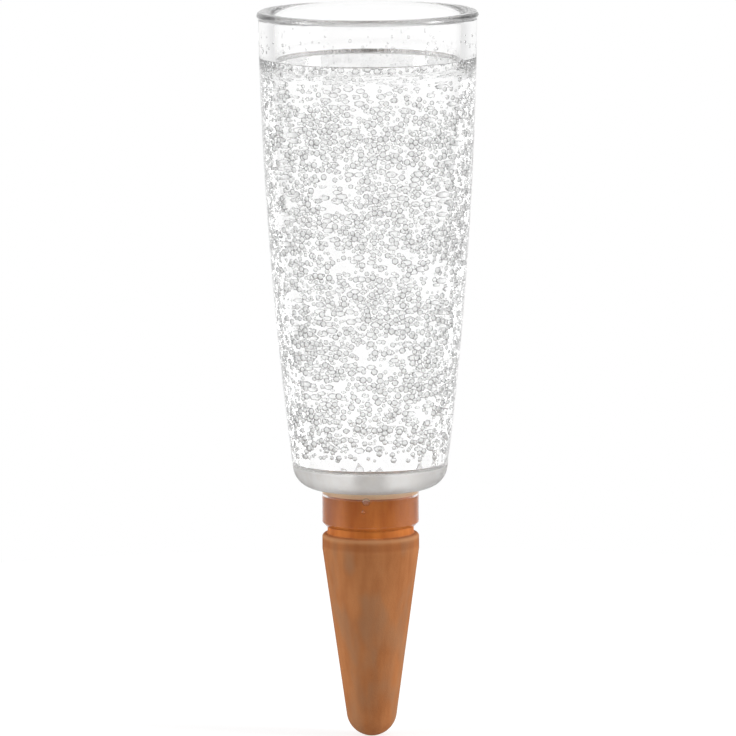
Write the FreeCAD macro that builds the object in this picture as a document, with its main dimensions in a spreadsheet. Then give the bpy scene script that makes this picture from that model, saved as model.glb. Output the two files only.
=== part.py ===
"""A self watering spike: a clear moulded cup that holds the water, over a hollow clay cone.

The cone goes into the soil up to its shoulder. Its neck stands up inside a clear socket under the
cup, against a soft ring, so the water runs down into the clay and seeps out through its wall.
All lengths are in millimetres. The axis of the spike is +Z, and the origin is on it, level with
the cone's shoulder, which is where the soil comes to.
"""

import FreeCAD, Part
import math
import os

import Sketcher

Vector = FreeCAD.Vector

# The driving sizes, each with a note. The clay comes first, because all else stands on it.
SIZES = [
    ("cone_length", 67.9, "shoulder of the cone down to its tip"),
    ("shoulder_radius", 15.95, "outside of the cone just under the shoulder"),
    ("shoulder_round", 1.2, "rounding of the shoulder's edge"),
    ("land_height", 5.1, "straight band under the shoulder"),
    ("tip_radius", 8.3, "rounding of the tip, which the straight taper runs into"),
    ("neck_radius", 14.2, "outside of the neck above the shoulder"),
    ("neck_length", 13.1, "shoulder up to the neck's end"),
    ("neck_end_bevel", 0.8, "bevel of the neck's end, outside and inside"),
    ("neck_root_bevel", 0.5, "bevel that fills the corner where the neck meets the shoulder"),
    ("clay_wall", 4.2, "clay around the bore at the neck"),
    ("tip_wall", 7.0, "clay below the end of the bore"),
    ("bore_end_radius", 4.6, "round end of the bore"),
    ("socket_radius", 15.9, "outside of the clear socket"),
    ("socket_gap", 2.5, "groove left open between socket and shoulder"),
    ("socket_chamfer", 1.3, "bevel around the socket's lower end"),
    ("socket_lead", 0.3, "lead-in bevel inside the socket's lower end"),
    ("neck_clearance", 0.05, "running fit of the neck in the socket"),
    ("seal_thickness", 3.1, "soft ring between the cup and the neck's end"),
    ("seal_bore_radius", 8.8, "water way through the soft ring"),
    ("seal_side_gap", 0.05, "soft ring to the socket's wall"),
    ("seal_edge_bevel", 0.5, "bevel of the soft ring's inner edges"),
    ("recess_depth", 0.9, "recess in the cup's underside that takes the socket"),
    ("recess_gap", 0.05, "socket to the recess's wall"),
    ("cup_height", 157.3, "underside of the cup up to its rim"),
    ("rim_radius", 36.3, "outside of the cup's lip"),
    ("foot_radius", 24.6, "outside of the cup at its underside, before the rounding"),
    ("side_curve_radius", 1350, "curve of the cup's side"),
    ("cup_wall", 5.2, "thickness of the cup's side"),
    ("floor_thickness", 7.3, "thickness of the cup's floor"),
    ("foot_round", 7.5, "rounding of the cup's lower edge"),
    ("floor_bevel", 1.2, "bevel inside, where the side meets the floor"),
    ("lip_bead", 0.45, "how far the lip stands out from the side"),
    ("lip_height", 3.0, "height of the lip's bead"),
    ("lip_land", 1.8, "height of the bead's widest part, its rounding counted in"),
    ("lip_round", 1.6, "rounding of the lip's outer edge"),
    ("lip_inner_round", 3.4, "long rounding from the lip's crest down to the inside"),
    ("outlet_radius", 3.0, "outlet hole through the cup's floor"),
    ("outlet_chamfer", 0.6, "bevel around the outlet, inside the cup"),
]
# The cup's side is drawn as a lower and an upper stretch that meet at this share of its height
MIDDLE_SHARE = 0.5
FULL_TURN = 360
NEAR = 1e-3

doc = FreeCAD.newDocument("self_watering_spike")
sheet = doc.addObject("Spreadsheet::Sheet", "Sizes")
for row, (alias, value, note) in enumerate(SIZES, start=1):
    sheet.set(f"A{row}", alias)
    sheet.set(f"B{row}", str(value))
    sheet.setAlias(f"B{row}", alias)
    sheet.set(f"C{row}", note)
doc.recompute()


class Length:
    """A length from the sheet, or a sum of such lengths: its number and the same as an expression.
    A length that only picks edges has no expression."""

    def __init__(self, number, text=None):
        self.number = number
        self.text = text

    def __add__(self, other):
        return Length(self.number + other.number, f"({self.text} + {other.text})")

    def __sub__(self, other):
        return Length(self.number - other.number, f"({self.text} - {other.text})")

    def __mul__(self, share):
        return Length(self.number * share, f"({self.text} * {share})")


def size(alias):
    """The sheet's size of that name."""
    return Length(float(sheet.get(alias)), f"Sizes.{alias}")


ZERO = Length(0.0, "0")

# Where the pieces meet, worked out once from the sizes
socket_bore = size("neck_radius") + size("neck_clearance")
recess_floor = size("neck_length") + size("seal_thickness")
cup_underside = recess_floor - size("recess_depth")


def new_body(label):
    """An empty body that will become the piece of that name."""
    body = doc.addObject("PartDesign::Body", label + "_body")
    body.Label = label
    return body


def new_sketch(body, name, plane):
    """A sketch on one of the body's own planes, such as XZ_Plane."""
    sketch = body.newObject("Sketcher::SketchObject", name)
    origin_plane = [part for part in body.Origin.OriginFeatures if part.Role == plane][0]
    sketch.AttachmentSupport = (origin_plane, [""])
    sketch.MapMode = "FlatFace"
    return sketch


def tie(sketch, kind, where, length):
    """Adds a constraint to the sketch and ties it to the sheet."""
    index = sketch.addConstraint(Sketcher.Constraint(kind, *where, length.number))
    sketch.setExpression(f"Constraints[{index}]", length.text)


def place_point(sketch, geometry, end, r, z):
    """Holds a point of the half section at radius r and height z."""
    for kind, axis, length in (("DistanceX", -2, r), ("DistanceY", -1, z)):
        if length is ZERO:
            sketch.addConstraint(Sketcher.Constraint("PointOnObject", geometry, end, axis))
        else:
            tie(sketch, kind, (geometry, end), length)


def join(sketch, first, second):
    """Joins the end of one edge of the outline to the start of the next."""
    sketch.addConstraint(Sketcher.Constraint("Coincident", *first, *second))


def flat(r, z):
    """A point of a half section."""
    return Vector(r.number, z.number, 0)


def arc_between(start, end, radius):
    """An arc of that radius from start to end that bulges to the right of the way it runs."""
    chord = end - start
    rise = radius - math.sqrt(radius**2 - (chord.Length / 2) ** 2)
    outward = Vector(chord.y, -chord.x, 0).normalize()
    return Part.ArcOfCircle(start, (start + end) / 2 + outward * rise, end)


def revolve(body, sketch, name):
    """Turns a half section once around the axis."""
    turned = body.newObject("PartDesign::Revolution", name)
    turned.Profile = sketch
    turned.ReferenceAxis = (sketch, ["V_Axis"])
    turned.Angle = FULL_TURN
    sketch.Visibility = False
    doc.recompute()
    return turned


def ring_edges(shape, radius, height):
    """The names of the round edges of that radius at that height of a body."""
    names = []
    for number, edge in enumerate(shape.Edges, start=1):
        if edge.Degenerated or not isinstance(edge.Curve, Part.Circle):
            continue
        same_radius = abs(edge.Curve.Radius - radius.number) < NEAR
        if same_radius and abs(edge.Curve.Center.z - height.number) < NEAR:
            names.append(f"Edge{number}")
    return names


def dress(body, kind, name, edges, sizes):
    """Rounds or bevels edges of the body's last feature. sizes is property name to length."""
    last = body.Tip
    feature = body.newObject("PartDesign::" + kind, name)
    feature.Base = (last, edges)
    for prop, length in sizes.items():
        setattr(feature, prop, length.number)
        feature.setExpression(prop, length.text)
    doc.recompute()
    if not edges or abs(feature.Shape.Volume - last.Shape.Volume) < NEAR:
        raise RuntimeError(f"{name} changed nothing")
    return feature


def pocket(body, name, radius, depth):
    """Cuts a round pocket upwards from the underside of a body."""
    before = body.Tip.Shape.Volume
    sketch = new_sketch(body, name + "_circle", "XY_Plane")
    sketch.addGeometry(Part.Circle(Vector(0, 0, 0), Vector(0, 0, 1), radius.number))
    sketch.addConstraint(Sketcher.Constraint("Coincident", 0, 3, -1, 1))
    tie(sketch, "Radius", (0,), radius)
    cut = body.newObject("PartDesign::Pocket", name)
    cut.Profile = sketch
    cut.Length = depth.number
    cut.setExpression("Length", depth.text)
    cut.Reversed = True
    sketch.Visibility = False
    doc.recompute()
    if cut.Shape.Volume >= before:
        raise RuntimeError(f"{name} cut nothing")
    return cut


def pad_ring(body, name, outer, inner, length):
    """A plain ring of two circles, padded upwards from the body's own origin."""
    sketch = new_sketch(body, name + "_circles", "XY_Plane")
    for number, radius in enumerate((outer, inner)):
        sketch.addGeometry(Part.Circle(Vector(0, 0, 0), Vector(0, 0, 1), radius.number))
        sketch.addConstraint(Sketcher.Constraint("Coincident", number, 3, -1, 1))
        tie(sketch, "Radius", (number,), radius)
    pad = body.newObject("PartDesign::Pad", name)
    pad.Profile = sketch
    pad.Length = length.number
    pad.setExpression("Length", length.text)
    sketch.Visibility = False
    doc.recompute()
    return pad


def stand_at(body, height):
    """Puts the body's own origin at that height on the axis of the spike."""
    body.setExpression("Placement.Base.z", height.text)
    doc.recompute()


def clay_cone():
    """The porous cone: neck, shoulder, straight band, taper and round tip, bored down its middle.
    Its own origin is at the tip."""
    body = new_body("clay_cone")
    sketch = new_sketch(body, "cone_half_section", "XZ_Plane")
    shoulder = size("cone_length")
    top = shoulder + size("neck_length")
    bore_top = size("neck_radius") - size("clay_wall")
    bore_end = size("bore_end_radius")

    # The straight side touches the round tip where it runs square to the tip's radius
    tip_radius = size("tip_radius").number
    tip_centre = Vector(0, tip_radius, 0)
    side_top = flat(size("shoulder_radius"), shoulder - size("land_height"))
    apart = side_top - tip_centre
    along = apart / apart.Length
    across = Vector(along.y, -along.x, 0)
    lean = tip_radius / apart.Length
    touch = tip_centre + (along * lean + across * math.sqrt(1 - lean**2)) * tip_radius

    lowest = Vector(0, 0, 0)
    half_way = (lowest + touch) / 2 - tip_centre
    tip_middle = tip_centre + half_way.normalize() * tip_radius
    tip_arc = Part.ArcOfCircle(lowest, tip_middle, touch)
    bore_centre = size("tip_wall") + bore_end
    bore_low = Vector(0, size("tip_wall").number, 0)
    bore_arc = Part.ArcOfCircle(
        Part.Circle(flat(ZERO, bore_centre), Vector(0, 0, 1), bore_end.number), -math.pi / 2, 0
    )
    corners = [
        (size("shoulder_radius"), shoulder - size("land_height")),
        (size("shoulder_radius"), shoulder),
        (size("neck_radius"), shoulder),
        (size("neck_radius"), top),
        (bore_top, top),
        (bore_end, bore_centre),
    ]
    points = [flat(*corner) for corner in corners]
    sketch.addGeometry([tip_arc, Part.LineSegment(touch, side_top)])
    lines = [Part.LineSegment(a, b) for a, b in zip(points[:-1], points[1:])]
    sketch.addGeometry(lines)
    sketch.addGeometry([bore_arc, Part.LineSegment(bore_low, lowest)])
    tip, side, first_line = 0, 1, 2
    bore_round, axis_line = first_line + len(lines), first_line + len(lines) + 1

    sketch.addConstraint(Sketcher.Constraint("Coincident", tip, 1, -1, 1))
    sketch.addConstraint(Sketcher.Constraint("PointOnObject", tip, 3, -2))
    tie(sketch, "Radius", (tip,), size("tip_radius"))
    sketch.addConstraint(Sketcher.Constraint("Tangent", tip, 2, side, 1))
    join(sketch, (side, 2), (first_line, 1))
    for number, corner in enumerate(corners[:-1]):
        place_point(sketch, first_line + number, 1, *corner)
        if number:
            join(sketch, (first_line + number - 1, 2), (first_line + number, 1))
    place_point(sketch, bore_round - 1, 2, *corners[-1])
    join(sketch, (bore_round - 1, 2), (bore_round, 2))
    tie(sketch, "Radius", (bore_round,), bore_end)
    place_point(sketch, bore_round, 1, ZERO, size("tip_wall"))
    join(sketch, (bore_round, 1), (axis_line, 1))
    join(sketch, (axis_line, 2), (tip, 1))

    turned = revolve(body, sketch, "cone_turned")
    edges = ring_edges(turned.Shape, size("shoulder_radius"), shoulder)
    rounded = dress(body, "Fillet", "shoulder_rounding", edges, {"Radius": size("shoulder_round")})
    edges = ring_edges(rounded.Shape, size("neck_radius"), shoulder)
    filled = dress(body, "Chamfer", "neck_root", edges, {"Size": size("neck_root_bevel")})
    edges = ring_edges(filled.Shape, size("neck_radius"), top)
    edges += ring_edges(filled.Shape, bore_top, top)
    dress(body, "Chamfer", "neck_end", edges, {"Size": size("neck_end_bevel")})
    stand_at(body, ZERO - size("cone_length"))
    return body


def reservoir_cup():
    """The clear cup: a curved tapering side with a rounded lip, a rounded foot and a thick floor
    with the outlet in its middle. Its own origin is at its underside."""
    body = new_body("reservoir_cup")
    sketch = new_sketch(body, "cup_half_section", "XZ_Plane")
    under_lip = (size("rim_radius") - size("lip_bead"), size("cup_height") - size("lip_height"))
    outer = [
        (ZERO, ZERO),
        (size("foot_radius"), ZERO),
        under_lip,
        (size("rim_radius"), size("cup_height") - size("lip_land")),
        (size("rim_radius"), size("cup_height")),
    ]
    points = [flat(*corner) for corner in outer]
    outside_radius = size("side_curve_radius")
    inside_radius = outside_radius - size("cup_wall")
    centre = arc_between(points[1], points[2], outside_radius.number).Center
    half_height = size("cup_height") * MIDDLE_SHARE

    def side_at(height, radius):
        """Where a side of that curve radius, around the common centre, is at that height."""
        reach = math.sqrt(radius.number**2 - (height.number - centre.y) ** 2)
        return Vector(centre.x + reach, height.number, 0)

    low = side_at(size("floor_thickness"), inside_radius)
    high = side_at(size("cup_height"), inside_radius)
    outer_middle = side_at(half_height, outside_radius)
    inner_middle = side_at(half_height, inside_radius)
    floor_middle = flat(ZERO, size("floor_thickness"))
    sketch.addGeometry(
        [
            Part.LineSegment(points[0], points[1]),
            arc_between(points[1], outer_middle, outside_radius.number),
            arc_between(outer_middle, points[2], outside_radius.number),
            Part.LineSegment(points[2], points[3]),
            Part.LineSegment(points[3], points[4]),
            Part.LineSegment(points[4], high),
            arc_between(inner_middle, high, inside_radius.number),
            arc_between(low, inner_middle, inside_radius.number),
            Part.LineSegment(low, floor_middle),
            Part.LineSegment(floor_middle, points[0]),
        ]
    )
    underside, side_low, side_high, flare, lip, top, inside_high, inside_low, floor, middle = range(10)
    sketch.addConstraint(Sketcher.Constraint("Coincident", underside, 1, -1, 1))
    join(sketch, (underside, 2), (side_low, 1))
    join(sketch, (side_low, 2), (side_high, 1))
    join(sketch, (side_high, 2), (flare, 1))
    join(sketch, (flare, 2), (lip, 1))
    join(sketch, (lip, 2), (top, 1))
    join(sketch, (top, 2), (inside_high, 2))
    join(sketch, (inside_high, 1), (inside_low, 2))
    join(sketch, (inside_low, 1), (floor, 1))
    join(sketch, (floor, 2), (middle, 1))
    join(sketch, (middle, 2), (underside, 1))
    place_point(sketch, underside, 2, *outer[1])
    place_point(sketch, flare, 1, *outer[2])
    place_point(sketch, lip, 1, *outer[3])
    place_point(sketch, lip, 2, *outer[4])
    for arc in (side_high, inside_low, inside_high):
        join(sketch, (side_low, 3), (arc, 3))
    tie(sketch, "Radius", (side_low,), outside_radius)
    tie(sketch, "Radius", (inside_low,), inside_radius)
    for arc in (side_high, inside_high):
        tie(sketch, "DistanceY", (arc, 1), half_height)
    sketch.addConstraint(Sketcher.Constraint("Horizontal", top))
    sketch.addConstraint(Sketcher.Constraint("Horizontal", floor))
    place_point(sketch, middle, 1, ZERO, size("floor_thickness"))

    turned = revolve(body, sketch, "cup_turned")
    lip_radius = Length(high.x)
    floor_radius = Length(low.x)
    edges = ring_edges(turned.Shape, size("foot_radius"), ZERO)
    rounded = dress(body, "Fillet", "foot_rounding", edges, {"Radius": size("foot_round")})
    edges = ring_edges(rounded.Shape, floor_radius, size("floor_thickness"))
    bevelled = dress(body, "Chamfer", "floor_edge", edges, {"Size": size("floor_bevel")})
    edges = ring_edges(bevelled.Shape, lip_radius, size("cup_height"))
    inside = dress(body, "Fillet", "lip_inside", edges, {"Radius": size("lip_inner_round")})
    edges = ring_edges(inside.Shape, size("rim_radius"), size("cup_height"))
    dress(body, "Fillet", "lip_outside", edges, {"Radius": size("lip_round")})
    pocket(body, "socket_recess", size("socket_radius") + size("recess_gap"), size("recess_depth"))
    drilled = pocket(body, "outlet", size("outlet_radius"), size("floor_thickness"))
    edges = ring_edges(drilled.Shape, size("outlet_radius"), size("floor_thickness"))
    dress(body, "Chamfer", "outlet_bevel", edges, {"Size": size("outlet_chamfer")})
    stand_at(body, cup_underside)
    return body


def cone_socket():
    """The clear sleeve welded into the recess under the cup, around the neck of the cone. Its own
    origin is at its lower end."""
    body = new_body("cone_socket")
    length = recess_floor - size("socket_gap")
    ring = pad_ring(body, "sleeve", size("socket_radius"), socket_bore, length)
    edges = ring_edges(ring.Shape, size("socket_radius"), ZERO)
    bevelled = dress(body, "Chamfer", "lower_bevel", edges, {"Size": size("socket_chamfer")})
    edges = ring_edges(bevelled.Shape, socket_bore, ZERO)
    dress(body, "Chamfer", "lead_in", edges, {"Size": size("socket_lead")})
    stand_at(body, size("socket_gap"))
    return body


def seal_ring():
    """The soft flat ring between the underside of the cup and the end of the neck. Its own origin
    is at its lower face."""
    body = new_body("seal_ring")
    outer = socket_bore - size("seal_side_gap")
    inner = size("seal_bore_radius")
    ring = pad_ring(body, "flat_ring", outer, inner, size("seal_thickness"))
    edges = ring_edges(ring.Shape, inner, ZERO)
    edges += ring_edges(ring.Shape, inner, size("seal_thickness"))
    dress(body, "Chamfer", "inner_edges", edges, {"Size": size("seal_edge_bevel")})
    stand_at(body, size("neck_length"))
    return body


def check(pieces):
    """Stops if anything in the document failed or a piece isn't one good solid."""
    for item in doc.Objects:
        if "Invalid" in item.State or "Error" in item.State:
            raise RuntimeError(f"{item.Label} failed: {item.State}")
    for piece in pieces:
        shape = piece.Shape
        if shape.isNull() or not shape.isValid() or len(shape.Solids) != 1:
            raise RuntimeError(f"{piece.Label} isn't one good solid")


pieces = [clay_cone(), reservoir_cup(), cone_socket(), seal_ring()]
doc.recompute()
check(pieces)
os.makedirs("parts", exist_ok=True)
for piece in pieces:
    piece.Shape.exportStep(f"parts/{piece.Label}.step")
    low, high = piece.Shape.BoundBox.ZMin, piece.Shape.BoundBox.ZMax
    print(f"{piece.Label}: volume {piece.Shape.Volume:.0f} mm3, from {low:.2f} to {high:.2f} mm")
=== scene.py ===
import math

import bmesh
import bpy
from mathutils import Matrix, Vector


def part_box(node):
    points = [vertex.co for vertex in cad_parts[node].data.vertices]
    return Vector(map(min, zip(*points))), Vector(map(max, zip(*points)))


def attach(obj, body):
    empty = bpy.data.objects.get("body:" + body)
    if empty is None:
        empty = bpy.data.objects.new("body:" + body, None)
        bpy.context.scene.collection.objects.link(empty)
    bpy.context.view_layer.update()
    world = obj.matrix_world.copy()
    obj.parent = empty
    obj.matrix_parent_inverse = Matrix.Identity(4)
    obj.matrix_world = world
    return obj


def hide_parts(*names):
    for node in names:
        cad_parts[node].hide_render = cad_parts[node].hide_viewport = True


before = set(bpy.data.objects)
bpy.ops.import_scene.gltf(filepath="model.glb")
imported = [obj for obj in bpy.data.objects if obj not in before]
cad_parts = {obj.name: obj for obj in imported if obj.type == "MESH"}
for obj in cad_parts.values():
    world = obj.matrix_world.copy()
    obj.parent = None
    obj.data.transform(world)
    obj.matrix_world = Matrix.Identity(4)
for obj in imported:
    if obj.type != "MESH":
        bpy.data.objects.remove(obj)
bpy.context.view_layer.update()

# The clay cone, which goes into the soil: unglazed fired clay, hollow, so that water seeps out
# through it. It is turned from one half section, and its neck stands up inside the clear socket.
MM = 0.001
TURN_STEPS = 256
ARC_STEP = math.radians(7)
LEAST_ARC_STEPS = 2
# A point is held beside each end of a rounding, this share of the rounding's reach away from it
HOLD = 0.3


def outline(corners, closed=False):
    """Points of a half section from its corners, each (radius, height, rounding). A rounded corner
    gets a point close by on each side as well, so that the shading of the flat runs stays flat."""
    count = len(corners)
    places = [Vector(corner[:2]) for corner in corners]
    backs = [(places[i - 1] - places[i]).normalized() for i in range(count)]
    ons = [(places[(i + 1) % count] - places[i]).normalized() for i in range(count)]
    halves = [math.acos(max(-1.0, min(1.0, b.dot(o)))) / 2 for b, o in zip(backs, ons)]
    # How far each rounding reaches along its two runs, and what is left of the run that follows
    reaches = []
    for i, (_, _, rounding) in enumerate(corners):
        rounded = rounding and (closed or 0 < i < count - 1)
        reaches.append(rounding / math.tan(halves[i]) if rounded else 0)
    rooms = []
    for i, place in enumerate(places):
        after = (i + 1) % count
        rooms.append((places[after] - place).length - reaches[i] - reaches[after])
    points = []
    for i, (place, reach, back, on) in enumerate(zip(places, reaches, backs, ons)):
        if not reach:
            points.append(place)
            continue
        radius = corners[i][2]
        middle = place + (back + on).normalized() * (radius / math.sin(halves[i]))
        start = place + back * reach - middle
        end = place + on * reach - middle
        steps = max(LEAST_ARC_STEPS, math.ceil((math.pi - 2 * halves[i]) / ARC_STEP))
        points.append(place + back * (reach + min(reach, rooms[i - 1]) * HOLD))
        points += [middle + start.slerp(end, step / steps) * radius for step in range(steps + 1)]
        points.append(place + on * (reach + min(reach, rooms[i]) * HOLD))
    return points


def linked(new_object):
    """The object, once it is in the scene."""
    bpy.context.scene.collection.objects.link(new_object)
    return new_object


def turned(name, points, ring=False, steps=TURN_STEPS):
    """A mesh object: a half section, from axis to axis or as a closed ring, turned about Z."""
    work = bmesh.new()
    rows = []
    for r, z in points:
        count = steps if r > 0 else 1
        angles = [2 * math.pi * i / steps for i in range(count)]
        rows.append([work.verts.new((r * math.cos(a), r * math.sin(a), z)) for a in angles])
    uppers = rows[1:] + rows[:1] if ring else rows[1:]
    for low, high in zip(rows, uppers):
        for i in range(steps):
            lower_edge = [low[i % len(low)], low[(i + 1) % len(low)]]
            upper_edge = [high[(i + 1) % len(high)], high[i % len(high)]]
            # A row on the axis has one point, and its faces are triangles
            work.faces.new(list(dict.fromkeys(lower_edge + upper_edge)))
    bmesh.ops.recalc_face_normals(work, faces=work.faces)
    # A shape whose faces all look inwards now is turned round
    if work.calc_volume(signed=True) < 0:
        bmesh.ops.reverse_faces(work, faces=work.faces)
    mesh = bpy.data.meshes.new(name)
    work.to_mesh(mesh)
    work.free()
    mesh.polygons.foreach_set("use_smooth", [True] * len(mesh.polygons))
    return linked(bpy.data.objects.new(name, mesh))


class Wire:
    """A node's output. Sums, products and powers of wires and numbers add their Math nodes."""

    def __init__(self, tree, socket):
        self.tree = tree
        self.socket = socket

    def other(self, name):
        """Another output of the same node."""
        return Wire(self.tree, self.socket.node.outputs[name])

    def math(self, operation, other):
        return add_node(self.tree, "ShaderNodeMath", {"operation": operation}, {0: self, 1: other})

    def __add__(self, other):
        return self.math("ADD", other)

    def __sub__(self, other):
        return self.math("SUBTRACT", other)

    def __mul__(self, other):
        return self.math("MULTIPLY", other)

    def __truediv__(self, other):
        return self.math("DIVIDE", other)

    def __pow__(self, other):
        return self.math("POWER", other)

    def __rsub__(self, other):
        return self * -1 + other

    __radd__ = __add__
    __rmul__ = __mul__

    def between(self, low, high, least=0.0, most=1.0):
        """The least value where this is at low, the most where it is at high, smooth in between."""
        settings = {"interpolation_type": "SMOOTHSTEP"}
        values = {"Value": self, "From Min": low, "From Max": high, "To Min": least, "To Max": most}
        return add_node(self.tree, "ShaderNodeMapRange", settings, values)

    def within(self, rise, fall):
        """1 from the end of the rise to the start of the fall, and 0 outside the two."""
        return self.between(*rise) * (1 - self.between(*fall))


def add_node(tree, kind, settings=None, values=None, output=0):
    """Adds a node to the tree: first its settings, then values or wires for its sockets."""
    node = tree.nodes.new(kind)
    for name, value in (settings or {}).items():
        setattr(node, name, value)
    for name, value in (values or {}).items():
        if isinstance(value, Wire):
            tree.links.new(value.socket, node.inputs[name])
        else:
            node.inputs[name].default_value = value
    return Wire(tree, node.outputs[output])


def close_tree(last, kind="ShaderNodeOutputMaterial", socket="Surface"):
    """Joins the last wire of a tree to its output node."""
    output = last.tree.nodes.new(kind)
    last.tree.links.new(last.socket, output.inputs[socket])


def new_finish(name):
    """An empty material, its tree, and the object's own coordinates in it."""
    material = bpy.data.materials.new(name)
    material.use_nodes = True
    tree = material.node_tree
    tree.nodes.clear()
    return material, tree, add_node(tree, "ShaderNodeTexCoord", output="Object")


def height_of(place):
    """The Z part of the coordinates."""
    return add_node(place.tree, "ShaderNodeSeparateXYZ", None, {0: place}, output="Z")


def drawn_out(place, along):
    """The coordinates with Z times a number under 1, which draws a pattern out up the piece."""
    values = {0: place, 1: (1, 1, along)}
    return add_node(place.tree, "ShaderNodeVectorMath", {"operation": "MULTIPLY"}, values)


def noise(place, scale, detail=2.0, roughness=0.5):
    """Soft noise. The scale is in cells for each metre, so 250 makes patches about 4 mm across."""
    values = {"Vector": place, "Scale": scale, "Detail": detail, "Roughness": roughness}
    return add_node(place.tree, "ShaderNodeTexNoise", None, values)


def blend_colours(factor, first, second, kind="MIX"):
    """The first colour where the factor is 0, the second where it is 1."""
    first, second = (c if isinstance(c, Wire) else (*c, 1.0) for c in (first, second))
    settings = {"data_type": "RGBA", "blend_type": kind}
    return add_node(factor.tree, "ShaderNodeMix", settings, {0: factor, 6: first, 7: second}, 2)


def relief(height, strength, distance):
    """A normal that makes the surface stand up and down by a wire's value."""
    values = {"Strength": strength, "Distance": distance, "Height": height}
    return add_node(height.tree, "ShaderNodeBump", None, values)


def principled(tree, values):
    return add_node(tree, "ShaderNodeBsdfPrincipled", None, values)


clay_low, clay_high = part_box("clay_cone")
SHOULDER_R = clay_high.x
SHOULDER_ROUND = 1.2 * MM
LAND = 5.1 * MM
LAND_ROUND = 3.0 * MM
TIP_R = 8.3 * MM
TIP_STEPS = 14
NECK_R = 14.2 * MM
NECK_BEVEL = 0.8 * MM
ROOT_ROUND = 0.5 * MM
BORE_R = 10.0 * MM
BORE_END_R = 4.6 * MM
TIP_WALL = 7.0 * MM

tip = clay_low.z
neck_end = clay_high.z
bore_end = tip + TIP_WALL

# The straight side leaves the round tip where it is tangent to it
tip_centre = Vector((0, tip + TIP_R))
side_top = Vector((SHOULDER_R, -LAND))
apart = side_top - tip_centre
lean = TIP_R / apart.length
along = apart.normalized()
across = Vector((along.y, -along.x))
tip_end_angle = math.atan2(*reversed(along * lean + across * math.sqrt(1 - lean**2)))
down = -math.pi / 2
tip_angles = [down + (tip_end_angle - down) * i / TIP_STEPS for i in range(1, TIP_STEPS + 1)]
clay_points = [Vector((0, tip))]
clay_points += [tip_centre + Vector((math.cos(a), math.sin(a))) * TIP_R for a in tip_angles]
half_way_up = clay_points[-1] * 0.5 + side_top * 0.5
clay_points += outline(
    [
        (*half_way_up, 0),
        (SHOULDER_R, -LAND, LAND_ROUND),
        (SHOULDER_R, 0, SHOULDER_ROUND),
        (NECK_R, 0, ROOT_ROUND),
        (NECK_R, neck_end, NECK_BEVEL),
        (BORE_R, neck_end, NECK_BEVEL),
        (BORE_END_R, bore_end + BORE_END_R, 0),
        (BORE_END_R * 0.5, bore_end, 0),
        (0, bore_end, 0),
    ]
)
cone = turned("fired_cone", clay_points)

CLAY_LIGHT = (0.50, 0.205, 0.076)
CLAY_MIDDLE = (0.415, 0.156, 0.052)
CLAY_DARK = (0.315, 0.108, 0.034)
CLAY_DUSTY = (0.33, 0.175, 0.092)
# Painted shade: the tint that darkens a band of the clay under the shoulder
SHOULDER_SHADE_TINT = (0.87, 0.80, 0.75)
# Painted highlight: the paler colour laid on the shoulder's rounded edge
SHOULDER_HIGHLIGHT_TINT = (0.52, 0.25, 0.115)
WET_DARK = (0.45, 0.118, 0.015)
WET_LIGHT = (0.62, 0.192, 0.032)
# Heights of the band of painted shade under the shoulder
SHADE_BAND_RISE = (-4.8 * MM, -3.4 * MM)
SHADE_BAND_FALL = (-2.3 * MM, -1.4 * MM)
# Heights of the painted highlight on the shoulder's rounded edge
HIGHLIGHT_BAND_RISE = (-1.7 * MM, -0.9 * MM)
HIGHLIGHT_BAND_FALL = (-0.5 * MM, -0.1 * MM)
WET_RISE = (-0.2 * MM, 0.5 * MM)
CLAY_ROUGHNESS = 0.92
WET_SMOOTHER = 0.35
CLAY_SPECULAR = 0.2
clay, tree, place = new_finish("fired_clay")
height = height_of(place)
streaks = noise(drawn_out(place, 0.16), 260)
clouds = noise(place, 70, 3, 0.55)
dust = noise(drawn_out(place, 0.4), 110)
grain = noise(place, 2600, 4, 0.7)
pores = add_node(tree, "ShaderNodeTexVoronoi", None, {"Vector": place, "Scale": 900})
tone = (streaks * 0.55 + clouds * 0.45).between(0.32, 0.68)
wet = height.between(*WET_RISE)
# Painted shade in a band under the shoulder, a painted highlight on its rounded edge, and the wet
# neck, laid over the clay
clay_colour = blend_colours(tone, CLAY_DARK, CLAY_LIGHT)
for share, kind, over in (
    (grain.between(0.3, 0.75) * 0.45 + 0.25, "MIX", CLAY_MIDDLE),
    (dust.between(0.42, 0.62) * 0.55, "MIX", CLAY_DUSTY),
    # painted shade in a band under the shoulder
    (height.within(SHADE_BAND_RISE, SHADE_BAND_FALL), "MULTIPLY", SHOULDER_SHADE_TINT),
    # painted highlight on the shoulder's rounded edge
    (height.within(HIGHLIGHT_BAND_RISE, HIGHLIGHT_BAND_FALL) * 0.6, "MIX", SHOULDER_HIGHLIGHT_TINT),
    (wet, "MIX", blend_colours(tone, WET_DARK, WET_LIGHT)),
):
    clay_colour = blend_colours(share, clay_colour, over, kind)
clay_values = {
    "Base Color": clay_colour,
    "Roughness": CLAY_ROUGHNESS - wet * WET_SMOOTHER,
    "Normal": relief(grain * 0.5 + streaks * 0.7 + pores * 0.3, 0.5, 0.25 * MM),
    "Specular IOR Level": CLAY_SPECULAR,
}
close_tree(principled(tree, clay_values))
cone.data.materials.append(clay)
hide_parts("clay_cone")
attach(cone, "spike")

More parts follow.
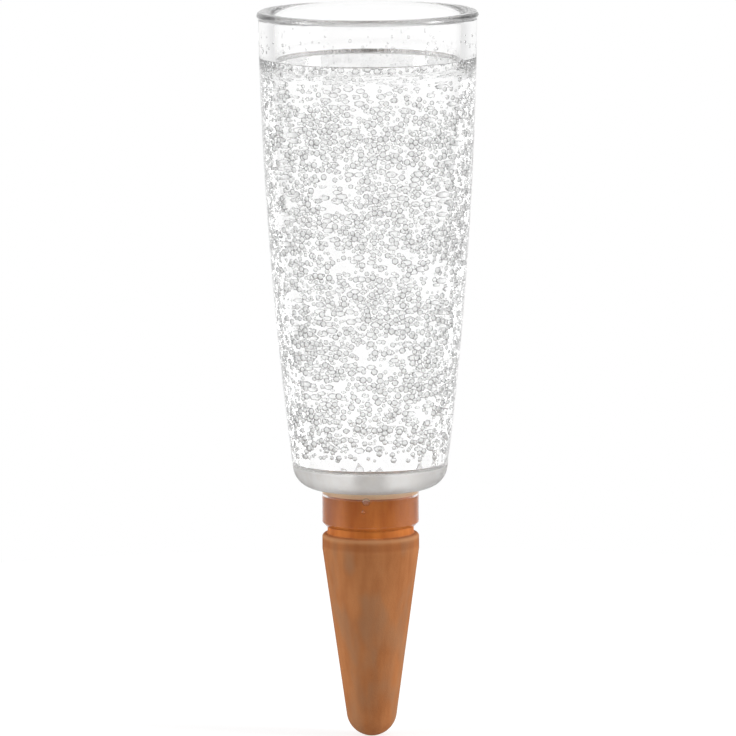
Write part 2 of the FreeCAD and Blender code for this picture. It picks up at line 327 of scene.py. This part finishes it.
# The reservoir cup: one clear acrylic moulding with a thick floor and an outlet in its middle.
# Its lip is fully rounded, and small air bubbles that the melt held are left in its wall.
cup_low, cup_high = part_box("reservoir_cup")
RIM_R = cup_high.x
WALL = 5.2 * MM
FLOOR = 7.3 * MM
FOOT_R = 24.6 * MM
FOOT_ROUND = 7.5 * MM
FLOOR_BEVEL = 1.2 * MM
SIDE_CURVE = 1350 * MM
SIDE_STEPS = 24
LIP_BEAD = 0.45 * MM
LIP_HEIGHT = 2.3 * MM
LIP_LAND = 1.65 * MM
LIP_ROUND = 1.5 * MM
LIP_INNER_ROUND = 3.4 * MM
INNER_SIDE_END = LIP_INNER_ROUND * 1.4
OUTLET_R = 3.0 * MM
OUTLET_BEVEL = 0.6 * MM
RECESS_R = 15.95 * MM
RECESS = 0.9 * MM
SOFT_EDGE = 0.15 * MM
CUP_STEPS = 144

underside = cup_low.z
floor_top = underside + FLOOR
inner_foot = floor_top + FLOOR_BEVEL
recess_top = underside + RECESS
rim = cup_high.z

# The side bulges a little: an arc from the foot to just under the lip, and the inside shares its
# centre
foot = Vector((FOOT_R, underside))
under_lip = Vector((RIM_R - LIP_BEAD, rim - LIP_HEIGHT))
chord = under_lip - foot
to_centre = math.sqrt(SIDE_CURVE**2 - (chord.length / 2) ** 2)
side_centre = (foot + under_lip) / 2 + Vector((-chord.y, chord.x)).normalized() * to_centre


def side_radius(z, inset):
    """How far from the axis the cup's side is at that height, inset from its outside."""
    return side_centre.x + math.sqrt((SIDE_CURVE - inset) ** 2 - (z - side_centre.y) ** 2)


def side_run(low, high, inset, steps=SIDE_STEPS):
    """Points up the cup's side between two heights."""
    heights = [low + (high - low) * i / steps for i in range(1, steps)]
    return [(side_radius(z, inset), z, 0) for z in heights]


cup_corners = [
    (OUTLET_R + OUTLET_BEVEL, floor_top, SOFT_EDGE),
    (OUTLET_R, floor_top - OUTLET_BEVEL, SOFT_EDGE),
    (OUTLET_R, recess_top, SOFT_EDGE),
    (RECESS_R, recess_top, SOFT_EDGE),
    (RECESS_R, underside, SOFT_EDGE),
    (FOOT_R, underside, FOOT_ROUND),
    *side_run(underside + FOOT_ROUND, rim - LIP_HEIGHT, 0),
    (*under_lip, SOFT_EDGE),
    (RIM_R, rim - LIP_LAND, SOFT_EDGE),
    (RIM_R, rim, LIP_ROUND),
    (side_radius(rim, WALL), rim, LIP_INNER_ROUND),
    *reversed(side_run(inner_foot, rim - INNER_SIDE_END, WALL)),
    (side_radius(inner_foot, WALL), inner_foot, SOFT_EDGE),
    (side_radius(floor_top, WALL) - FLOOR_BEVEL, floor_top, SOFT_EDGE),
]
cup = turned("clear_cup", outline(cup_corners, closed=True), ring=True, steps=CUP_STEPS)

# Polished acrylic with a trace of haze. The foot is satin and faintly marked, and the lip is a
# little satin too.
ACRYLIC_IOR = 1.49
CLEAR = (1.0, 1.0, 1.0)
SATIN_LIGHT = (1.0, 0.985, 0.965)
SATIN_DARK = (0.91, 0.88, 0.845)
SATIN_RISE = (underside - 0.3 * MM, underside)
SATIN_FALL = (floor_top - 1.0 * MM, floor_top + 2.0 * MM)
SATIN_ROUGHNESS = 0.42
LIP_RISE = (rim - 2.5 * MM, rim - 1.9 * MM)
LIP_ROUGHNESS = 0.16
HAZE_ROUGHNESS = 0.02
acrylic, tree, place = new_finish("clear_acrylic")
height = height_of(place)
satin = height.within(SATIN_RISE, SATIN_FALL)
lip = height.between(*LIP_RISE)
marks = noise(drawn_out(place, 0.6), 240, 3, 0.6).between(0.38, 0.62)
haze = noise(drawn_out(place, 0.25), 260, 3).between(0.4, 0.8)
waves = noise(drawn_out(place, 0.3), 95, 1, 0.4)
acrylic_values = {
    "Base Color": blend_colours(satin, CLEAR, blend_colours(marks, SATIN_DARK, SATIN_LIGHT)),
    "Roughness": haze * HAZE_ROUGHNESS + satin * SATIN_ROUGHNESS + lip * LIP_ROUGHNESS,
    "IOR": ACRYLIC_IOR,
    "Transmission Weight": 1.0,
    "Normal": relief(waves, 0.12, 0.4 * MM),
}
close_tree(principled(tree, acrylic_values))

# The skin of a bubble bends light less than the acrylic does, which keeps the bubbles pale
BUBBLE_IOR = 1.22
SKIN_ROUGHNESS = 0.32
bubble_skin, tree, place = new_finish("bubble_skin")
skin_values = {
    "Base Color": (*CLEAR, 1.0),
    "Roughness": noise(place, 400) * 0.25 + SKIN_ROUGHNESS,
    "IOR": BUBBLE_IOR,
    "Transmission Weight": 1.0,
}
close_tree(principled(tree, skin_values))

# The bubbles lie on a surface half way through the wall, moved in and out at random. They crowd
# in drifts. Towards the rim their number falls to the share FEW and their size to the share SMALL.
BUBBLE_LOW = 23.6 * MM
BUBBLE_HIGH = 169 * MM
LAYER_ROWS = 40
LAYER_STEPS = 96
FULL_DENSITY = 2000000.0
FEW = 0.20
SMALL = 0.5
DRIFT_SCALE = 85.0
THIN_DRIFT = 0.5
PLACE_SEED = 7
DEPTH_SEED = 3
GIRTH_SEED = 11
TURN_SEED = 5
layer_rows = side_run(BUBBLE_LOW, BUBBLE_HIGH, WALL / 2, LAYER_ROWS)
layer = turned("bubble_layer", [Vector((r, z)) for r, z, _ in layer_rows], steps=LAYER_STEPS)

bubble_tree = bpy.data.node_groups.new("air_bubbles", "GeometryNodeTree")
bubble_tree.is_modifier = True
bubble_inputs = {}
for name, kind, value in (
    ("Layer", "NodeSocketGeometry", None),
    ("Spacing", "NodeSocketFloat", 1.5 * MM),
    ("Least radius", "NodeSocketFloat", 0.4 * MM),
    ("Largest radius", "NodeSocketFloat", 1.25 * MM),
    ("Depth", "NodeSocketFloat", 1.1 * MM),
    ("Thick below", "NodeSocketFloat", 138 * MM),
    ("Thin above", "NodeSocketFloat", 163 * MM),
    ("Finish", "NodeSocketMaterial", bubble_skin),
):
    new_input = bubble_tree.interface.new_socket(name, in_out="INPUT", socket_type=kind)
    if value is not None:
        bubble_inputs[new_input.identifier] = value
bubble_tree.interface.new_socket("Bubbles", in_out="OUTPUT", socket_type="NodeSocketGeometry")
group_outputs = bubble_tree.nodes.new("NodeGroupInput").outputs
given = {socket.name: Wire(bubble_tree, socket) for socket in group_outputs}


def grow(kind, settings=None, values=None, output=0):
    return add_node(bubble_tree, kind, settings, values, output)


def at_random(least, most, seed):
    """A number for each bubble, between two others."""
    values = {2: least, 3: most, "Seed": seed}
    return grow("FunctionNodeRandomValue", {"data_type": "FLOAT"}, values, output=1)


where = grow("GeometryNodeInputPosition")
level = height_of(where)
crowding = level.between(given["Thin above"], given["Thick below"], least=FEW)
drifts = noise(where, DRIFT_SCALE).between(0.38, 0.52, least=THIN_DRIFT)
centres = grow(
    "GeometryNodeDistributePointsOnFaces",
    {"distribute_method": "POISSON"},
    {
        "Mesh": given["Layer"],
        "Distance Min": given["Spacing"],
        "Density Max": FULL_DENSITY,
        "Density Factor": crowding * drifts,
        "Seed": PLACE_SEED,
    },
)
fullness = grow(
    "ShaderNodeMapRange",
    None,
    {
        "Value": level,
        "From Min": given["Thin above"],
        "From Max": given["Thick below"],
        "To Min": SMALL,
        "To Max": 1.0,
    },
)
depth = at_random(given["Depth"] * -1, given["Depth"], DEPTH_SEED)
push_values = {0: centres.other("Normal"), "Scale": depth}
push = grow("ShaderNodeVectorMath", {"operation": "SCALE"}, push_values)
spread = grow("GeometryNodeSetPosition", None, {"Geometry": centres, "Offset": push})
girth = at_random(given["Least radius"], given["Largest radius"], GIRTH_SEED)
# A plain ball of 20 faces, turned at random, because there are thousands of them
ball = grow("GeometryNodeMeshIcoSphere", None, {"Radius": 1.0, "Subdivisions": 1})
full_turns = {1: (math.tau, math.tau, math.tau), "Seed": TURN_SEED}
turns = grow("FunctionNodeRandomValue", {"data_type": "FLOAT_VECTOR"}, full_turns)
ball_values = {"Points": spread, "Instance": ball, "Rotation": turns, "Scale": girth * fullness}
balls = grow("GeometryNodeInstanceOnPoints", None, ball_values)
solid = grow("GeometryNodeRealizeInstances", None, {"Geometry": balls})
smooth = grow("GeometryNodeSetShadeSmooth", None, {0: solid})
skinned = grow("GeometryNodeSetMaterial", None, {"Geometry": smooth, "Material": given["Finish"]})
close_tree(skinned, "NodeGroupOutput", "Bubbles")

growth = layer.modifiers.new("bubbles", "NODES")
growth.node_group = bubble_tree
for identifier, value in bubble_inputs.items():
    growth[identifier] = value
bpy.context.view_layer.update()
grown = layer.evaluated_get(bpy.context.evaluated_depsgraph_get())
bubble_mesh = bpy.data.meshes.new_from_object(grown)
bpy.data.objects.remove(layer)


def add_voids(work, piece, slot=0):
    """Turns the closed shapes in the work inside out, and makes them part of the piece's mesh."""
    bmesh.ops.reverse_faces(work, faces=work.faces)
    for face in work.faces:
        face.smooth = True
        face.material_index = slot
    work.from_mesh(piece.data)
    work.to_mesh(piece.data)
    work.free()


cup.data.materials.append(acrylic)
cup.data.materials.append(bubble_skin)
voids = bmesh.new()
voids.from_mesh(bubble_mesh)
add_voids(voids, cup, slot=1)
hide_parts("reservoir_cup")
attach(cup, "reservoir")

# The socket: a clear acrylic sleeve with a bevelled lower end, welded into the recess under the
# cup. The clay neck inside it is wet, and the film of water leaves no air between the two, so the
# bore reaches a hair into the clay.
socket_low, socket_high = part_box("cone_socket")
SOCKET_R = socket_high.x
SOCKET_BEVEL = 1.3 * MM
WET_BORE_R = NECK_R - 0.02 * MM
WELD_GAP = 0.02 * MM
socket_top = socket_high.z - WELD_GAP
socket_corners = [
    (WET_BORE_R, socket_low.z, SOFT_EDGE),
    (SOCKET_R - SOCKET_BEVEL, socket_low.z, SOFT_EDGE * 2),
    (SOCKET_R, socket_low.z + SOCKET_BEVEL, SOFT_EDGE * 2),
    (SOCKET_R, socket_top, SOFT_EDGE),
    (WET_BORE_R, socket_top, SOFT_EDGE),
]
sleeve = turned("clear_sleeve", outline(socket_corners, closed=True), ring=True)
sleeve.data.materials.append(acrylic)

# Two flat bubbles are caught in the sleeve's wall at the front: how far to the side, how high,
# and how large
SLEEVE_BUBBLES = ((-1.4 * MM, 12.4 * MM, 1.25 * MM), (-2.4 * MM, 9.1 * MM, 0.65 * MM))
HALF_THICKNESS = 0.5 * MM
middle_r = (SOCKET_R + NECK_R) / 2
voids = bmesh.new()
for x, z, radius in SLEEVE_BUBBLES:
    flattened = Matrix.Diagonal((radius, min(radius, HALF_THICKNESS), radius, 1))
    seat = Matrix.Translation((x, -math.sqrt(middle_r**2 - x**2), z)) @ flattened
    bmesh.ops.create_uvsphere(voids, u_segments=20, v_segments=12, radius=1, matrix=seat)
add_voids(voids, sleeve)
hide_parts("cone_socket")
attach(sleeve, "reservoir")

# The seal: a flat ring of soft milky silicone that is squeezed between the cup's underside and
# the end of the clay neck, and keeps the water on its way into the cone.
seal_low, seal_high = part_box("seal_ring")
SEAL_BORE_R = 8.8 * MM
SEAL_ROUND = 0.5 * MM
seal_top = seal_high.z - WELD_GAP
seal_corners = [
    (SEAL_BORE_R, seal_low.z, SEAL_ROUND),
    (seal_high.x, seal_low.z, SOFT_EDGE),
    (seal_high.x, seal_top, SOFT_EDGE),
    (SEAL_BORE_R, seal_top, SEAL_ROUND),
]
seal = turned("soft_ring", outline(seal_corners, closed=True), ring=True)

MILKY_LIGHT = (1.0, 0.83, 0.60)
MILKY_DARK = (1.0, 0.75, 0.50)
STAINED = (0.92, 0.58, 0.32)
STAIN_END = (seal_low.z + 0.2 * MM, seal_low.z + 2.0 * MM)
SILICONE_ROUGHNESS = 0.35
silicone, tree, place = new_finish("milky_silicone")
cloud = noise(place, 300, 3, 0.6).between(0.3, 0.7)
clean = height_of(place).between(*STAIN_END)
silicone_values = {
    "Base Color": blend_colours(clean, STAINED, blend_colours(cloud, MILKY_DARK, MILKY_LIGHT)),
    "Roughness": cloud * 0.15 + SILICONE_ROUGHNESS,
    "Normal": relief(cloud, 0.2, 0.1 * MM),
}
close_tree(principled(tree, silicone_values))
seal.data.materials.append(silicone)
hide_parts("seal_ring")
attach(seal, "reservoir")

# The water that the cup holds, with its curved edge where it climbs the wall. It reaches a
# little way into the acrylic, so that no film of air shows between the two.
WATER_IOR = 1.333
WATER_LEVEL = 156.4 * MM
WETTING = 0.15 * MM
CLIMB = 0.9 * MM
CLIMB_WIDTH = 1.8 * MM
CLIMB_STEPS = 6
top_r = side_radius(WATER_LEVEL, WALL - WETTING)
curved_edge = []
for i in range(CLIMB_STEPS, -1, -1):
    climbed = i / CLIMB_STEPS
    edge_r = top_r - CLIMB_WIDTH * (1 - climbed)
    curved_edge.append((edge_r, WATER_LEVEL + CLIMB * climbed**3, 0))
water_corners = [
    (0, recess_top + WETTING, 0),
    (OUTLET_R + WETTING, recess_top + WETTING, 0),
    (OUTLET_R + WETTING, floor_top - OUTLET_BEVEL - WETTING, 0),
    (OUTLET_R + OUTLET_BEVEL + WETTING, floor_top - WETTING, 0),
    (side_radius(floor_top, WALL) - FLOOR_BEVEL, floor_top - WETTING, 0),
    (side_radius(inner_foot, WALL - WETTING), inner_foot - WETTING, 0),
    *side_run(inner_foot, WATER_LEVEL, WALL - WETTING),
    *curved_edge,
    (0, WATER_LEVEL, 0),
]
water = turned("water_fill", outline(water_corners), steps=CUP_STEPS)

clear_water, tree, place = new_finish("clear_water")
water_values = {
    "Base Color": (*CLEAR, 1.0),
    "Roughness": 0.0,
    "IOR": WATER_IOR,
    "Transmission Weight": 1.0,
    "Normal": relief(noise(place, 60, 1, 0.4), 0.05, 0.3 * MM),
}
close_tree(principled(tree, water_values))
water.data.materials.append(clear_water)
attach(water, "reservoir")

# The studio's floor: a white disc that the tip stands on. The camera sees it white, and clear
# pieces see it pale grey under the object and lighter further out. Its glow on the rest is weak.
FLOOR_R = 0.38
FLOOR_STEPS = 96
FLOOR_GREY = 0.42
FLOOR_SEEN = 0.72
FLOOR_THROUGH = 0.50
FLOOR_OUTER = 0.20
FLOOR_OUT_FROM = (0.10, 0.36)
FLOOR_OTHER = 0.35


def either(factor, yes, no):
    """The first value where the factor is 1, the second where it is 0."""
    return factor * yes + (1 - factor) * no


disc = bmesh.new()
bmesh.ops.create_circle(disc, cap_ends=True, segments=FLOOR_STEPS, radius=FLOOR_R)
floor_data = bpy.data.meshes.new("studio_floor")
disc.to_mesh(floor_data)
disc.free()
floor_data.transform(Matrix.Translation((0, 0, tip)))
studio_floor = linked(bpy.data.objects.new("studio_floor", floor_data))
white_floor, tree, place = new_finish("white_floor")
seen = add_node(tree, "ShaderNodeLightPath", output="Is Camera Ray")
through = seen.other("Is Transmission Ray")
measure = {"operation": "LENGTH"}
from_middle = add_node(tree, "ShaderNodeVectorMath", measure, {0: place}, output="Value")
ground = from_middle.between(*FLOOR_OUT_FROM) * FLOOR_OUTER + FLOOR_THROUGH
glow = either(seen, FLOOR_SEEN, either(through, ground, FLOOR_OTHER))
floor_colour = (FLOOR_GREY, FLOOR_GREY, FLOOR_GREY, 1.0)
diffuse = add_node(tree, "ShaderNodeBsdfDiffuse", None, {"Color": floor_colour})
light = add_node(tree, "ShaderNodeEmission", None, {"Strength": glow})
close_tree(add_node(tree, "ShaderNodeAddShader", None, {0: diffuse, 1: light}))
floor_data.materials.append(white_floor)

# The studio's surround is white. Clear pieces see it greyer overhead, underneath and between its
# four sides, which draws their edges, and gloss sees it darkest towards the front.
SURROUND = 1.04
BETWEEN_DARKER = 0.24
OVERHEAD_DARKER = 0.30
UNDER_DARKER = 0.12
MIRROR = 0.85
FRONT_DARKER = 0.67
SOFT_LIGHT = 0.24
SOFT_SIDES = 0.55
NEARLY_NOTHING = 0.0001
world = bpy.data.worlds.new("white_surround")
bpy.context.scene.world = world
world.use_nodes = True
tree = world.node_tree
tree.nodes.clear()
seen = add_node(tree, "ShaderNodeLightPath", output="Is Camera Ray")
through = seen.other("Is Transmission Ray")
mirrored = seen.other("Is Glossy Ray")
way = add_node(tree, "ShaderNodeTexCoord", output="Generated")
way_x = add_node(tree, "ShaderNodeSeparateXYZ", None, {0: way}, output="X")
way_y = way_x.other("Y")
way_z = way_x.other("Z")
flat_square = way_x * way_x + way_y * way_y + NEARLY_NOTHING
between_sides = (way_x * way_y * 2 / flat_square) ** 6
overhead = way_z.between(0.30, 0.80)
underneath = (way_z * -1).between(0.35, 0.90)
in_front = (way_y * -1).between(0.1, 0.8)
surround = SURROUND - between_sides * BETWEEN_DARKER - overhead * OVERHEAD_DARKER
surround = surround - underneath * UNDER_DARKER
mirror = surround * (MIRROR - in_front * FRONT_DARKER)
soft_light = way_x * way_x / flat_square * SOFT_SIDES + SOFT_LIGHT
brightness = either(seen, 1, either(through, surround, either(mirrored, mirror, soft_light)))
sky = add_node(tree, "ShaderNodeBackground", None, {"Color": (1, 1, 1, 1), "Strength": brightness})
close_tree(sky, "ShaderNodeOutputWorld")

# Two tall soft lamps stand far out at the sides, the right one a little stronger, and draw the
# soft bright bands on the clay.
AIM = Vector((0, 0, 50 * MM))
LAMP_WIDTH = 0.7
LAMP_HEIGHT = 1.4
for name, stand, watts in (
    ("lamp_right", Vector((2.0, -0.55, 0.75)), 33),
    ("lamp_left", Vector((-2.0, -0.65, 0.75)), 24),
):
    lamp = bpy.data.lights.new(name, "AREA")
    lamp.shape = "RECTANGLE"
    lamp.size = LAMP_WIDTH
    lamp.size_y = LAMP_HEIGHT
    lamp.energy = watts
    holder = linked(bpy.data.objects.new(name, lamp))
    holder.location = stand
    holder.rotation_euler = (stand - AIM).to_track_quat("Z", "Y").to_euler()

# The camera looks slightly down on the spike from far away, as in the photograph. Light bends
# many times in the rim before it leaves it, so the paths are long.
CAMERA_PITCH = math.radians(8.0)
CAMERA_ROLL = math.radians(-0.35)
CAMERA_DISTANCE = 2.626
CAMERA_AIM = Vector((-0.56 * MM, 0, 54.7 * MM))
LENS = 390.8
SENSOR = 36
LIGHT_BOUNCES = 64
scene = bpy.context.scene
to_camera = Vector((0, -math.cos(CAMERA_PITCH), math.sin(CAMERA_PITCH)))
camera_data = bpy.data.cameras.new("camera")
camera_data.sensor_width = SENSOR
camera_data.lens = LENS
camera = linked(bpy.data.objects.new("camera", camera_data))
camera.location = CAMERA_AIM + to_camera * CAMERA_DISTANCE
facing = to_camera.to_track_quat("Z", "Y").to_matrix().to_4x4()
camera.rotation_euler = (facing @ Matrix.Rotation(CAMERA_ROLL, 4, "Z")).to_euler()
scene.camera = camera
scene.view_settings.view_transform = "Standard"
scene.cycles.max_bounces = LIGHT_BOUNCES
scene.cycles.transmission_bounces = LIGHT_BOUNCES
scene.cycles.glossy_bounces = LIGHT_BOUNCES
